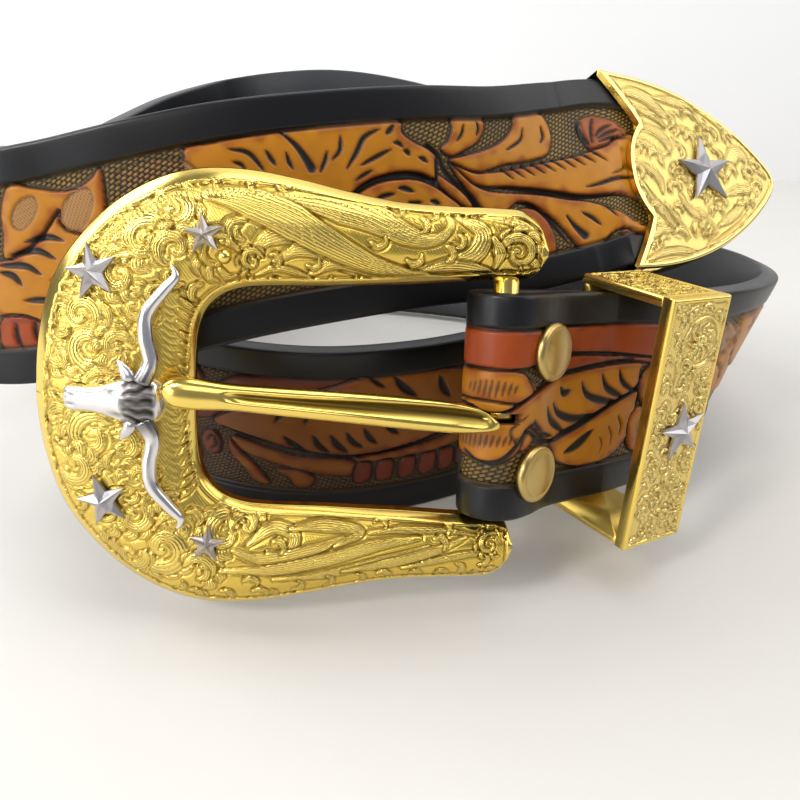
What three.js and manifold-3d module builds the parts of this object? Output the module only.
// Western belt with a three-piece buckle set, standing on its edge in a loose coil.
// Millimetres, +Z up, X to the viewer's right, Y away from the viewer.
import * as THREE from 'three';
import Module from 'manifold-3d';
import { mergeVertices } from 'three/addons/utils/BufferGeometryUtils.js';

const wasm = await Module();
wasm.setup();

// ---------------------------------------------------------------- driving sizes
const STRAP_W = 37.4;         // strap width
const STRAP_T = 3.8;         // strap thickness, two bonded layers
const STRAP_BEVEL = 0.5;     // edge rounding
const GAP = 0.3;             // clearance between neighbouring pieces
const BAR_R = 2.1;           // buckle bar radius
const FOLD_R = BAR_R + GAP;  // inside radius of the leather fold round the bar
const SLOT_HALF = 2.6;       // half width of the prong slot in the fold
const SLOT_END = 4.6;        // how far the slot runs past the bar inside the fold
const SLOT_FRONT = 0.5;      // how far the slot is open in the strap's outer face past the bar
const SLOT_ROOF = 4.35;      // leather over the prong's eye starts at this distance from the bar
const FLAP_LEN = 18.5;       // length of the folded-back end behind the strap
const FRAME_BACK = -1.2;     // back face of the buckle frame, measured from the bar's centre
const KEEPER = { high: 46, deep: 20.4, long: 14.6, front: 2.4, wall: 1.7 };
const TIP = { wall: 0.9, thick: 6.2, pocket: 4.5 };
const OFFSET = [4.644, -187.565, -0.091];   // puts the origin under the middle of the whole belt, on the floor

// Where the middle of the bar is, the bar's direction, and the direction from the window towards the bar.
const BAR = new THREE.Vector3(16.55, 119.29, 37.69);
const FRAME_SHIFT = 0.6;     // the frame sits this much higher than the middle of the strap
const BAR_UP = new THREE.Vector3(-0.012, 0.262, 0.965).normalize();
const FRAME_X = new THREE.Vector3(0.995, 0.1, 0).addScaledVector(BAR_UP, 0).normalize();
FRAME_X.addScaledVector(BAR_UP, -FRAME_X.dot(BAR_UP)).normalize();
const FRAME_N = new THREE.Vector3().crossVectors(FRAME_X, BAR_UP).normalize();   // towards the viewer
const LEAVE = new THREE.Vector3(0.80, 0.60, 0);
LEAVE.addScaledVector(BAR_UP, -LEAVE.dot(BAR_UP)).normalize();
const LEAVE_N = new THREE.Vector3().crossVectors(LEAVE, BAR_UP).normalize();

// ---------------------------------------------------------------- helpers
const v3 = (a) => new THREE.Vector3(a[0], a[1], a[2]);

function rings(list, closedLoop = false) {
  // list of rings of points, all with the same count: a closed skin with capped ends
  const n = list[0].length, pos = [], idx = [];
  for (const ring of list) for (const p of ring) pos.push(p.x, p.y, p.z);
  const m = list.length;
  for (let i = 0; i < (closedLoop ? m : m - 1); i++)
    for (let j = 0; j < n; j++) {
      const a = i * n + j, b = i * n + (j + 1) % n, i2 = (i + 1) % m;
      const c = i2 * n + (j + 1) % n, d = i2 * n + j;
      idx.push(a, b, c, a, c, d);
    }
  if (!closedLoop) {
    for (const [base, flip] of [[0, true], [(m - 1) * n, false]]) {
      const c = new THREE.Vector3();
      const ring = list[base === 0 ? 0 : m - 1];
      for (const p of ring) c.add(p);
      c.multiplyScalar(1 / n);
      const k = pos.length / 3;
      pos.push(c.x, c.y, c.z);
      for (let j = 0; j < n; j++) {
        const a = base + j, b = base + (j + 1) % n;
        if (flip) idx.push(k, b, a); else idx.push(k, a, b);
      }
    }
  }
  return orient(fromArrays(pos, idx));
}

function fromArrays(pos, idx) {
  const g = new THREE.BufferGeometry();
  g.setAttribute('position', new THREE.BufferAttribute(new Float32Array(pos), 3));
  g.setIndex(idx);
  return g;
}

function orient(g) {
  // turn the skin so that its faces point out (positive volume)
  const p = g.attributes.position, ix = g.index.array;
  let vol = 0;
  const a = new THREE.Vector3(), b = new THREE.Vector3(), c = new THREE.Vector3();
  for (let i = 0; i < ix.length; i += 3) {
    a.fromBufferAttribute(p, ix[i]); b.fromBufferAttribute(p, ix[i + 1]); c.fromBufferAttribute(p, ix[i + 2]);
    vol += a.dot(b.cross(c));
  }
  if (vol < 0) {
    const out = Array.from(ix);
    for (let i = 0; i < out.length; i += 3) { const t = out[i]; out[i] = out[i + 1]; out[i + 1] = t; }
    g.setIndex(out);
  }
  return g;
}

function solid(g) {
  let q = g.clone();
  q.deleteAttribute('normal'); q.deleteAttribute('uv');
  q = mergeVertices(q, 1e-4);
  return new wasm.Manifold(new wasm.Mesh({
    numProp: 3,
    vertProperties: new Float32Array(q.attributes.position.array),
    triVerts: new Uint32Array(q.index.array),
  }));
}

function back(man) {
  const m = man.getMesh();
  return fromArrays(Array.from(m.vertProperties), Array.from(m.triVerts));
}

function place(g, o, x, y, z) {
  // moves a geometry made in a local frame to the frame with origin o and axes x, y, z
  const M = new THREE.Matrix4().makeBasis(x, y, z);
  M.setPosition(o);
  const q = g.clone();
  q.applyMatrix4(M);
  return q;
}

function prism(pts, lo, hi) {
  // pts: 2-D outline, extruded along the third axis from lo to hi
  const shape = new THREE.Shape(pts.map((p) => new THREE.Vector2(p[0], p[1])));
  const g = new THREE.ExtrudeGeometry(shape, { depth: hi - lo, bevelEnabled: false, curveSegments: 1 });
  g.translate(0, 0, lo);
  return g;
}

function rod(a, b, r, sides = 24) {
  const g = new THREE.CylinderGeometry(r, r, a.distanceTo(b), sides);
  const q = new THREE.Quaternion().setFromUnitVectors(new THREE.Vector3(0, 1, 0), b.clone().sub(a).normalize());
  g.applyQuaternion(q);
  const m = a.clone().add(b).multiplyScalar(0.5);
  g.translate(m.x, m.y, m.z);
  return g;
}

const nodes = new THREE.Group();
nodes.position.set(...OFFSET);
function add(name, g, color, rough, metal) {
  g.computeVertexNormals();
  const mesh = new THREE.Mesh(g, new THREE.MeshStandardMaterial({ color, roughness: rough, metalness: metal }));
  mesh.name = name;
  nodes.add(mesh);
}
const GOLD = [0xd9b13a, 0.25, 1], SILVER = [0xc9c6cc, 0.3, 1], LEATHER = [0xa8641c, 0.5, 0], BRASS = [0xb39348, 0.35, 1];

// ---------------------------------------------------------------- strap
// Route of the strap's middle line after it leaves the fold. lean is in degrees, the top edge towards the
// inside of the loop being positive.
const ROUTE_COLUMNS = ['x', 'y', 'z', 'lean'];
const ROUTE = [
  [47.5, 137.8, 33.2, 6],
  [59.0, 147.8, 31.0, 0],
  [69, 160, 29.4, -9],
  [76.5, 175, 27.8, -16],
  [79, 193, 25.4, -20],
  [76.5, 213, 22.4, -23],
  [65.5, 234, 19.8, -26],
  [46, 250, 18.4, -28],
  [18, 260, 17.7, -28],
  [-12, 263, 17.7, -28],
  [-38, 257, 18.0, -25],
  [-57, 241, 18.7, -16],
  [-68, 218, 19.1, -8],
  [-70, 193, 19.0, -3],
  [-65, 170, 18.9, 0],
  [-54, 152, 18.9, 0],
  [-37, 140.8, 18.9, 0],
  [-17, 137.8, 18.9, 0],
  [2, 143, 18.9, 0],
  [18, 152.3, 18.9, 0],
  [34, 164, 18.9, 0],
  [49, 178, 20.5, 0],
  [58, 196, 25.3, -3],
  [57, 216, 32.5, -5],
  [47, 232, 41, -6],
  [28, 240, 48.5, -6],
  [3, 247, 54.6, -6],
  [-22, 259, 56.6, -5],
  [-40.4, 267, 54.6, -4],
  [-58.6, 268, 51.2, -3],
  [-72.3, 251, 48.0, -2],
  [-78, 222, 45.6, -1],
  [-78.5, 198, 45.2, 0],
  [-82, 180, 45.6, 3],
  [-88, 165, 47.5, 5],
  [-92, 150, 50.5, 7],
  [-90, 136, 53, 9],
  [-80, 126.8, 54.2, 10],
  [-66, 123.6, 54.9, 10],
  [-54.6, 123.8, 57.2, 11],
  [-41, 124.6, 60.8, 12],
  [-27.6, 127.8, 63.7, 13],
  [-13, 133.6, 65.3, 13.5],
  [1, 140.2, 66, 14],
  [16, 148.0, 65.9, 18],
  [28, 154.2, 67.1, 27],
  [39.5, 159.7, 68.4, 35],
  [50.2, 164.8, 67.4, 38],
  [60.9, 169.9, 66.0, 38],
  [72.2, 175.3, 64.4, 38],
];

function foldPoints() {
  // the folded end in the frame of the bar: along the strap, towards the viewer
  const r = FOLD_R + STRAP_T / 2, half = (STRAP_T + GAP) / 2, out = [];
  out.push([FLAP_LEN, -half], [FLAP_LEN - 4, -half], [FLAP_LEN - 8, -half]);
  out.push([7.2, -half - 0.55], [3.6, -r + 0.55]);
  for (let k = 0; k <= 8; k++) {
    const a = -Math.PI / 2 - (Math.PI * k) / 8;
    out.push([r * Math.cos(a), r * Math.sin(a)]);
  }
  out.push([3.6, r - 0.55], [7.2, half + 0.55], [FLAP_LEN - 8, half], [FLAP_LEN - 4, half], [FLAP_LEN, half], [FLAP_LEN + 5, half]);
  return out;
}

function strapStations() {
  const pts = [], lean = [];
  for (const [d, m] of foldPoints()) {
    pts.push(BAR.clone().addScaledVector(LEAVE, d).addScaledVector(LEAVE_N, m));
    lean.push(null);
  }
  const folded = pts.length;
  for (const row of ROUTE) { pts.push(v3(row)); lean.push(row[3]); }
  const curve = new THREE.CatmullRomCurve3(pts, false, 'centripetal');
  const out = [], per = 4;
  const n = pts.length - 1;
  for (let i = 0; i <= n; i++) {
    const steps = i === n ? 1 : (i < folded - 1 ? 1 : per);
    for (let s = 0; s < steps; s++) {
      const t = (i + s / steps) / n;
      const p = curve.getPoint(t), tan = curve.getTangent(t);
      let h;
      if (i < folded - 1) h = BAR_UP.clone();
      else {
        const side = new THREE.Vector3(-tan.y, tan.x, 0).normalize();
        const up = new THREE.Vector3().crossVectors(tan, side).normalize();
        const f = s / steps;
        const ang = (k) => lean[k] === null ? foldLean(side, up) : lean[k];
        const L = THREE.MathUtils.degToRad(ang(i) * (1 - f) + ang(Math.min(i + 1, n)) * f);
        h = up.multiplyScalar(Math.cos(L)).addScaledVector(side, Math.sin(L));
      }
      h.addScaledVector(tan, -h.dot(tan)).normalize();
      out.push({ p, tan, h, nrm: new THREE.Vector3().crossVectors(tan, h).normalize() });
    }
  }
  return out;
}
function foldLean(side, up) {
  return THREE.MathUtils.radToDeg(Math.atan2(BAR_UP.dot(side), BAR_UP.dot(up)));
}

const ST = strapStations();
let strapLength = 0;
const at = [0];
for (let i = 1; i < ST.length; i++) { strapLength += ST[i].p.distanceTo(ST[i - 1].p); at.push(strapLength); }

// shape of the metal tip, from its mouth (0) to its point, half heights
const TIP_COLUMNS = ['along', 'half'];
const TIP_OUTLINE = [[0, 19.9], [7, 19.4], [14, 18.1], [20, 16.2], [26, 13.5], [31.5, 10.2], [36, 6.8], [39.2, 3.7], [40.7, 1.6], [41.2, 0]];
const TIP_LEN = TIP_OUTLINE[TIP_OUTLINE.length - 1][0];
function tipHalf(s) {
  for (let k = 1; k < TIP_OUTLINE.length; k++) {
    const [a, ha] = TIP_OUTLINE[k - 1], [b, hb] = TIP_OUTLINE[k];
    if (s <= b) return ha + (hb - ha) * (s - a) / (b - a);
  }
  return 0;
}
const TIP_AT = strapLength - 36.7;     // where the tip's mouth sits on the strap
const STRAP_END = TIP_AT + 34;

function strapSection(s, half) {
  const t = STRAP_T / 2, b = Math.min(STRAP_BEVEL, half * 0.4);
  const prof = [[-t, -half + b], [-t, half - b], [-t + b, half], [t - b, half], [t, half - b], [t, -half + b], [t - b, -half], [-t + b, -half]];
  return prof.map(([a, h]) => s.p.clone().addScaledVector(s.nrm, a).addScaledVector(s.h, h));
}
function stationAt(s) {
  let i = 1;
  while (i < at.length - 1 && at[i] < s) i++;
  const f = (s - at[i - 1]) / (at[i] - at[i - 1]);
  const A = ST[i - 1], B = ST[i];
  const mix = (k) => A[k].clone().lerp(B[k], f);
  const h = mix('h').normalize(), tan = mix('tan').normalize();
  return { p: mix('p'), tan, h, nrm: new THREE.Vector3().crossVectors(tan, h).normalize() };
}
// the last stretch runs straight into the metal tip, in the tip's own axes
const tipFrame = stationAt(TIP_AT);
const TIP_X = ST[ST.length - 1].p.clone().sub(tipFrame.p).normalize();
const TIP_H = tipFrame.h.clone().addScaledVector(TIP_X, -tipFrame.h.dot(TIP_X)).normalize();
const TIP_N = new THREE.Vector3().crossVectors(TIP_X, TIP_H).normalize();
const inTip = (s) => ({ p: tipFrame.p.clone().addScaledVector(TIP_X, s - TIP_AT), tan: TIP_X, h: TIP_H, nrm: TIP_N });
const strapRings = [];
for (let i = 0; i < ST.length; i++) if (at[i] < TIP_AT - 4) strapRings.push(strapSection(ST[i], STRAP_W / 2));
for (let k = 0; k <= 10; k++) {
  const s = TIP_AT + (STRAP_END - TIP_AT) * k / 10;
  const half = Math.min(STRAP_W / 2, tipHalf(s - TIP_AT + 1.2) - TIP.wall - GAP - 0.25);
  strapRings.push(strapSection(inTip(s), half));
}
const slot = place(prism([[-FOLD_R - STRAP_T - 2, -FOLD_R - STRAP_T - 2], [5, -FOLD_R - STRAP_T - 2], [5, -0.2], [SLOT_END, -0.2],
  [SLOT_END, SLOT_ROOF], [SLOT_FRONT, SLOT_ROOF], [SLOT_FRONT, FOLD_R + STRAP_T + 2], [-FOLD_R - STRAP_T - 2, FOLD_R + STRAP_T + 2]], -SLOT_HALF, SLOT_HALF), BAR, LEAVE, LEAVE_N, BAR_UP.clone());
// the slot's frame is left-handed, so its faces are turned again
const strap = back(solid(rings(strapRings)).subtract(solid(orient(mergeVertices(bare(slot), 1e-4)))));
function bare(g) { const q = g.clone(); q.deleteAttribute('normal'); q.deleteAttribute('uv'); return q; }
add('strap', strap, ...LEATHER);

// ---------------------------------------------------------------- buckle frame
// Half of the frame from the end of an arm to the middle of the closed end. Each row is one cut across the
// frame: where it meets the window and where it meets the outside. along is measured from the bar.
const FRAME_COLUMNS = ['inner_along', 'inner_up', 'outer_along', 'outer_up'];
const FRAME_HALF = [
  [5.3, 22.6, 5.5, 26.6],
  [4.4, 20.9, 4.6, 29.0],
  [2.0, 20.1, 2.0, 30.8],
  [-2.0, 19.9, -2.6, 31.2],
  [-8.0, 19.6, -9.0, 31.2],
  [-15.0, 19.0, -17.6, 31.5],
  [-22.0, 18.6, -25.6, 32.7],
  [-29.5, 18.2, -33.6, 34.3],
  [-37.0, 18.0, -41.6, 35.4],
  [-41.8, 17.6, -49.0, 35.2],
  [-45.2, 16.4, -55.4, 33.3],
  [-47.6, 14.2, -61.6, 29.6],
  [-48.9, 11.2, -66.8, 24.6],
  [-49.4, 7.6, -71.2, 18.2],
  [-49.6, 3.8, -73.9, 9.4],
  [-49.6, 0.0, -74.8, 0.0],
];
// rise of the front face across a cut, 0 at the window, 1 outside
const CROWN_COLUMNS = ['across', 'rise'];
const CROWN = [[0, 0.9], [0.05, 2.3], [0.16, 3.6], [0.36, 4.6], [0.58, 4.7], [0.78, 3.9], [0.93, 2.4], [1, 0.8]];
const bow = (u) => 1.2 - 0.00117 * (u + 32) * (u + 32);   // the frame is bowed to a waist's curve

function frameCuts() {
  const full = [...FRAME_HALF, ...FRAME_HALF.slice(0, -1).reverse().map(([a, b, c, d]) => [a, -b, c, -d])];
  const inner = new THREE.CatmullRomCurve3(full.map((r) => new THREE.Vector3(r[0], r[1], 0)), false, 'centripetal');
  const outer = new THREE.CatmullRomCurve3(full.map((r) => new THREE.Vector3(r[2], r[3], 0)), false, 'centripetal');
  const out = [], n = (full.length - 1) * 2;
  for (let i = 0; i <= n; i++) out.push([inner.getPoint(i / n), outer.getPoint(i / n)]);
  return out;
}
const CUTS = frameCuts();
function frameHeight(u, v) {
  let best = 1e9, n = 0;
  for (let i = 0; i < CUTS.length - 1; i++)
    for (let e = 0; e < 1; e += 0.25)
      for (let f = 0; f <= 1; f += 0.04) {
        const a = CUTS[i][0].clone().lerp(CUTS[i + 1][0], e), b = CUTS[i][1].clone().lerp(CUTS[i + 1][1], e);
        const p = a.lerp(b, f), d = (p.x - u) ** 2 + (p.y - v) ** 2;
        if (d < best) { best = d; n = crown(f) + bow(p.x); }
      }
  return n;
}
function crown(f) {
  for (let k = 1; k < CROWN.length; k++) {
    const [a, ha] = CROWN[k - 1], [b, hb] = CROWN[k];
    if (f <= b) return ha + (hb - ha) * (f - a) / (b - a);
  }
  return CROWN[CROWN.length - 1][1];
}
const toBar = (u, v, n) => BAR.clone().addScaledVector(FRAME_X, u).addScaledVector(BAR_UP, v).addScaledVector(FRAME_N, n);
const toFrame = (u, v, n) => toBar(u, v + FRAME_SHIFT, n);
const frameRings = CUTS.map(([a, b]) => {
  const ring = CROWN.map(([f]) => { const p = a.clone().lerp(b, f); return toFrame(p.x, p.y, crown(f) + bow(p.x)); });
  ring.push(toFrame(b.x, b.y, FRAME_BACK + bow(b.x)), toFrame(a.x, a.y, FRAME_BACK + bow(a.x)));
  return ring;
});
const bar = rod(toFrame(0, -22, 0), toFrame(0, 22, 0), BAR_R);
add('buckle_frame', back(solid(rings(frameRings)).add(solid(bar))), ...GOLD);

// ---------------------------------------------------------------- prong
const PRONG_COLUMNS = ['along', 'up', 'out', 'half_width', 'half_thick'];
const PRONG = [
  [0.2, 0.0, 7.8, 1.7, 0.9],
  [-1.6, 0.0, 8.05, 2.3, 1.2],
  [-3.4, 0.0, 8.35, 2.5, 1.5],
  [-8, 0.2, 8.7, 2.6, 1.6],
  [-16, 0.6, 9.1, 2.6, 1.6],
  [-26, 1.1, 9.2, 2.4, 1.5],
  [-36, 1.6, 8.8, 2.15, 1.45],
  [-45, 2.0, 7.9, 2.0, 1.4],
  [-49.0, 2.2, 7.4, 2.1, 1.45],
  [-52.0, 2.3, 7.1, 2.0, 1.35],
  [-53.8, 2.4, 6.8, 1.2, 0.8],
];
const prongRings = PRONG.map(([u, v, n, w, t]) => {
  const out = [];
  for (let k = 0; k < 12; k++) {
    const a = (2 * Math.PI * k) / 12, c = Math.cos(a), s = Math.sin(a);
    out.push(toBar(u, v + w * Math.sign(c) * Math.abs(c) ** 0.7, n + t * Math.sign(s) * Math.abs(s) ** 0.7));
  }
  return out;
});
const eyeOuter = rod(toBar(0, -2.2, 0), toBar(0, 2.2, 0), FOLD_R + 1.5, 28);
const eyeHole = rod(toBar(0, -3, 0), toBar(0, 3, 0), FOLD_R, 28);
const neckPts = [[-3.6, -0.6], [-1.0, 3.3], [-1.9, 5.6], [-2.2, 8.0], [-6.4, 8.0], [-6.0, 5.4], [-4.9, 2.6]];
const neckG = prism(neckPts, -2.0, 2.0);
const neckM = solid(orient(mergeVertices(bare(place(neckG, BAR, FRAME_X, FRAME_N, BAR_UP.clone())), 1e-4)));
const prong = back(solid(rings(prongRings)).add(neckM).add(solid(eyeOuter)).subtract(solid(eyeHole)));
add('prong', prong, ...GOLD);

// ---------------------------------------------------------------- silver ornaments on the frame
function starGeometry(R, r, base, top, turn) {
  // five-pointed star with a raised ridge along each point, made in a local frame with z outwards
  const pos = [0, 0, top, 0, 0, base], idx = [];
  for (let k = 0; k < 10; k++) {
    const a = turn + (Math.PI * k) / 5 + Math.PI / 2, q = k % 2 ? r : R;
    pos.push(q * Math.cos(a), q * Math.sin(a), base + 0.35);
    pos.push(q * Math.cos(a), q * Math.sin(a), base);
  }
  for (let k = 0; k < 10; k++) {
    const a = 2 + 2 * k, b = 2 + 2 * ((k + 1) % 10);
    idx.push(0, a, b, 1, b + 1, a + 1, a, a + 1, b + 1, a, b + 1, b);
  }
  return orient(fromArrays(pos, idx));
}
function tangentFrame(u, v, span) {
  // the frame's surface under an ornament of the given half size: a seat that clears it
  const e = span * 0.8;
  const du = (frameHeight(u + e, v) - frameHeight(u - e, v)) / (2 * e), dv = (frameHeight(u, v + e) - frameHeight(u, v - e)) / (2 * e);
  const n = new THREE.Vector3(-du, -dv, 1).normalize();
  const x = new THREE.Vector3(1, 0, du).normalize(), y = new THREE.Vector3().crossVectors(n, x).normalize();
  let lift = 0;
  const c = new THREE.Vector3(u, v, frameHeight(u, v));
  for (let a = 0; a < 12; a++) for (const q of [0.35, 0.7, 1]) {
    const p = c.clone().addScaledVector(x, q * span * Math.cos(a * Math.PI / 6)).addScaledVector(y, q * span * Math.sin(a * Math.PI / 6));
    lift = Math.max(lift, (frameHeight(p.x, p.y) - p.z) * n.z);
  }
  return { c, n, x, y, lift };
}
const axesToWorld = (w) => new THREE.Vector3().addScaledVector(FRAME_X, w.x).addScaledVector(BAR_UP, w.y).addScaledVector(FRAME_N, w.z);
const STAR_COLUMNS = ['name', 'along', 'up', 'size', 'turn'];
const STARS = [
  ['star_upper_left', -64.2, 19.4, 4.3, 0.25],
  ['star_upper_right', -47.4, 25.6, 2.9, 0.1],
  ['star_lower_left', -63.8, -16.6, 4.3, 0.3],
  ['star_lower_right', -47.6, -23.4, 2.9, -0.1],
];
for (const [name, u, v, R, turn] of STARS) {
  const t = tangentFrame(u, v, R);
  const g = starGeometry(R, R * 0.42, t.lift + GAP, t.lift + GAP + 1.3, turn);
  const o = toFrame(t.c.x, t.c.y, t.c.z);
  add(name, orient(place(g, o, axesToWorld(t.x), axesToWorld(t.y), axesToWorld(t.n))), ...SILVER);
}
// bead beside the upper right star
{
  const u = -44.2, v = 22.6, n = frameHeight(u, v);
  const g = new THREE.SphereGeometry(1.1, 16, 10);
  g.translate(0, 0, 1.1 + GAP + 0.1);
  add('bead', orient(mergeVertices(bare(place(g, toFrame(u, v, n), FRAME_X, BAR_UP, FRAME_N)), 1e-4)), ...GOLD);
}

// Longhorn: the head lies along the frame with its nose to the closed end, the horns sweep to the window.
const HORN_COLUMNS = ['along', 'up', 'radius'];
const HORN = [[-57.0, 2.6, 1.45], [-55.9, 6.6, 1.3], [-55.9, 11.2, 1.1], [-55.0, 15.4, 0.85], [-51.2, 20.6, 0.35]];
const HEAD = [[-68.6, 0.9], [-67.0, 1.45], [-64.2, 1.9], [-61.0, 2.6], [-58.2, 3.5], [-55.6, 3.3], [-54.4, 1.5]];
const SKULL_COLUMNS = ['along', 'half_width'];
function tube(points, radii, sides = 10) {
  const list = points.map((p, i) => {
    const a = points[Math.max(0, i - 1)], b = points[Math.min(points.length - 1, i + 1)];
    const t = b.clone().sub(a).normalize(), x = new THREE.Vector3().crossVectors(t, FRAME_N).normalize(), y = new THREE.Vector3().crossVectors(x, t).normalize();
    const ring = [];
    for (let k = 0; k < sides; k++) {
      const w = (2 * Math.PI * k) / sides;
      ring.push(p.clone().addScaledVector(x, radii[i] * Math.cos(w)).addScaledVector(y, radii[i] * Math.sin(w)));
    }
    return ring;
  });
  return rings(list);
}
{
  const seat = (u, v, r) => Math.max(frameHeight(u, v), frameHeight(u + r, v), frameHeight(u - r, v), frameHeight(u, v + r), frameHeight(u, v - r)) + GAP + r + 0.1;
  const skull = HEAD.map(([u, w]) => {
    const base = Math.max(frameHeight(u, 0), frameHeight(u - 1, 0), frameHeight(u + 1, 0), frameHeight(u, w), frameHeight(u, -w)) + GAP;
    const ring = [];
    for (let k = 0; k < 12; k++) {
      const a = (2 * Math.PI * k) / 12;
      ring.push(toFrame(u, w * Math.cos(a), base + 1.0 + 0.35 * w * 0.6 + (0.9 + 0.25 * w) * Math.sin(a) * (Math.sin(a) > 0 ? 1 : 1)));
    }
    return ring;
  });
  let m = solid(rings(skull));
  for (const side of [1, -1]) {
    const curve = new THREE.CatmullRomCurve3(HORN.map(([u, v]) => new THREE.Vector3(u, v * side, 0)));
    const pts = [], rad = [];
    for (let i = 0; i <= 16; i++) {
      const q = curve.getPoint(i / 16), k = (i / 16) * (HORN.length - 1), a = Math.min(Math.floor(k), HORN.length - 2);
      const r = HORN[a][2] + (HORN[a + 1][2] - HORN[a][2]) * (k - a);
      pts.push(toFrame(q.x, q.y, seat(q.x, q.y, r))); rad.push(r);
    }
    m = m.add(solid(tube(pts, rad)));
    const ear = [[-57.8, 2.6 * side], [-58.8, 4.6 * side], [-59.4, 6.4 * side]];
    const ep = ear.map(([u, v]) => toFrame(u, v, seat(u, v, 0.8)));
    m = m.add(solid(tube(ep, [0.9, 0.8, 0.25], 8)));
  }
  add('longhorn', back(m), ...SILVER);
}

// ---------------------------------------------------------------- snap caps on the fold
const CAP_COLUMNS = ['name', 'along', 'up'];
const CAPS = [['snap_cap_upper', 5.6, 9.2], ['snap_cap_lower', 3.0, -11.0]];
function capGeometry(r) {
  const profile = [[0, 0], [r - 0.4, 0], [r, 0.35], [r, 0.9], [r - 0.5, 1.35], [r * 0.6, 1.6], [0, 1.7]];
  const g = new THREE.LatheGeometry(profile.map((p) => new THREE.Vector2(p[0], p[1])), 28);
  g.rotateX(Math.PI / 2);     // axis along +z, outwards
  return g;
}
{
  for (const [name, d, v] of CAPS) {
    const want = BAR.clone().addScaledVector(LEAVE, d).addScaledVector(LEAVE_N, 3);
    let best = 0;
    for (let q = 15; q < 70; q += 0.25) if (stationAt(q).p.distanceTo(want) < stationAt(best).p.distanceTo(want)) best = q;
    const st = stationAt(best);
    const o = st.p.clone().addScaledVector(st.h, v).addScaledVector(st.nrm, STRAP_T / 2 + GAP + 0.35);
    add(name, orient(mergeVertices(bare(place(capGeometry(5), o, st.tan, st.h, st.nrm)), 1e-4)), ...BRASS);
  }
}

// ---------------------------------------------------------------- keeper
const KEEPER_AT = new THREE.Vector3(42.6, 130.6, 32.6);
const KEEPER_UP = new THREE.Vector3(0.03, 0.12, 0.992).normalize();
const KEEPER_X = new THREE.Vector3(0.832, 0.548, -0.09);
KEEPER_X.addScaledVector(KEEPER_UP, -KEEPER_X.dot(KEEPER_UP)).normalize();
const KEEPER_N = new THREE.Vector3().crossVectors(KEEPER_X, KEEPER_UP).normalize();
{
  const { high, deep, long, front, wall } = KEEPER;
  const rr = (w, h, r, cx) => {
    const pts = [];
    for (const [sx, sy, a0] of [[1, 1, 0], [-1, 1, 1], [-1, -1, 2], [1, -1, 3]])
      for (let k = 0; k <= 3; k++) {
        const a = (a0 + k / 3) * Math.PI / 2;
        pts.push([cx + sx * (w / 2 - r) + r * Math.cos(a), sy * (h / 2 - r) + r * Math.sin(a)]);
      }
    return pts;
  };
  const shape = new THREE.Shape(rr(deep, high, 1.0, 0).map((p) => new THREE.Vector2(...p)));
  const hole = rr(deep - front - wall, high - 2 * wall, 0.5, -(front - wall) / 2).map((p) => new THREE.Vector2(...p));
  shape.holes.push(new THREE.Path(hole));
  const g = new THREE.ExtrudeGeometry(shape, { depth: long, bevelEnabled: false, curveSegments: 1 });
  g.translate(0, 0, -long / 2);
  // local x: towards the viewer, y: up, z: along the strap
  add('keeper_loop', orient(mergeVertices(bare(place(g, KEEPER_AT, KEEPER_N, KEEPER_UP, KEEPER_X)), 1e-4)), ...GOLD);
  const s = starGeometry(5.0, 2.1, GAP, GAP + 1.2, 0.2);
  const o = KEEPER_AT.clone().addScaledVector(KEEPER_N, deep / 2).addScaledVector(KEEPER_UP, -0.6);
  add('keeper_star', orient(place(s, o, KEEPER_X, KEEPER_UP, KEEPER_N)), ...SILVER);
}

// ---------------------------------------------------------------- tip
{
  const x = TIP_X, h = TIP_H, nrm = TIP_N;
  // the mouth is cut in two hollows with a blunt lobe between them
  const mouth = [[0, 19.9], [2.0, 16.6], [5.2, 12.8], [5.8, 10.2], [4.4, 6.6], [3.0, 3.4], [2.6, 0]];
  const upper = TIP_OUTLINE.slice(1).map(([a, b]) => [a, b]);
  const outline = [];
  for (const [a, b] of mouth.slice().reverse()) outline.push([a, b]);
  for (const [a, b] of upper) outline.push([a, b]);
  for (const [a, b] of upper.slice(0, -1).reverse()) outline.push([a, -b]);
  for (const [a, b] of mouth.slice(0, -1)) outline.push([a, -b]);
  const body = solid(orient(mergeVertices(bare(place(prism(outline, -TIP.thick / 2, TIP.thick / 2), tipFrame.p, x, h, nrm)), 1e-4)));
  const inner = [];
  for (let s = -2; s <= TIP_LEN - 4; s += 2) inner.push([s, Math.max(0.8, tipHalf(Math.max(0, s + 1)) - TIP.wall)]);
  const pocketLine = [...inner.map(([a, b]) => [a, -b]), ...inner.slice().reverse()];
  const pocket = solid(orient(mergeVertices(bare(place(prism(pocketLine, -TIP.pocket / 2, TIP.pocket / 2), tipFrame.p, x, h, nrm)), 1e-4)));
  add('tip_cap', back(body.subtract(pocket)), ...GOLD);
  const s = starGeometry(7.0, 2.6, GAP, GAP + 1.2, 0.1);
  const o = tipFrame.p.clone().addScaledVector(x, 19).addScaledVector(nrm, TIP.thick / 2);
  add('tip_star', orient(place(s, o, x, h, nrm)), ...SILVER);
}

nodes.userData.strapLength = strapLength;
export default nodes;
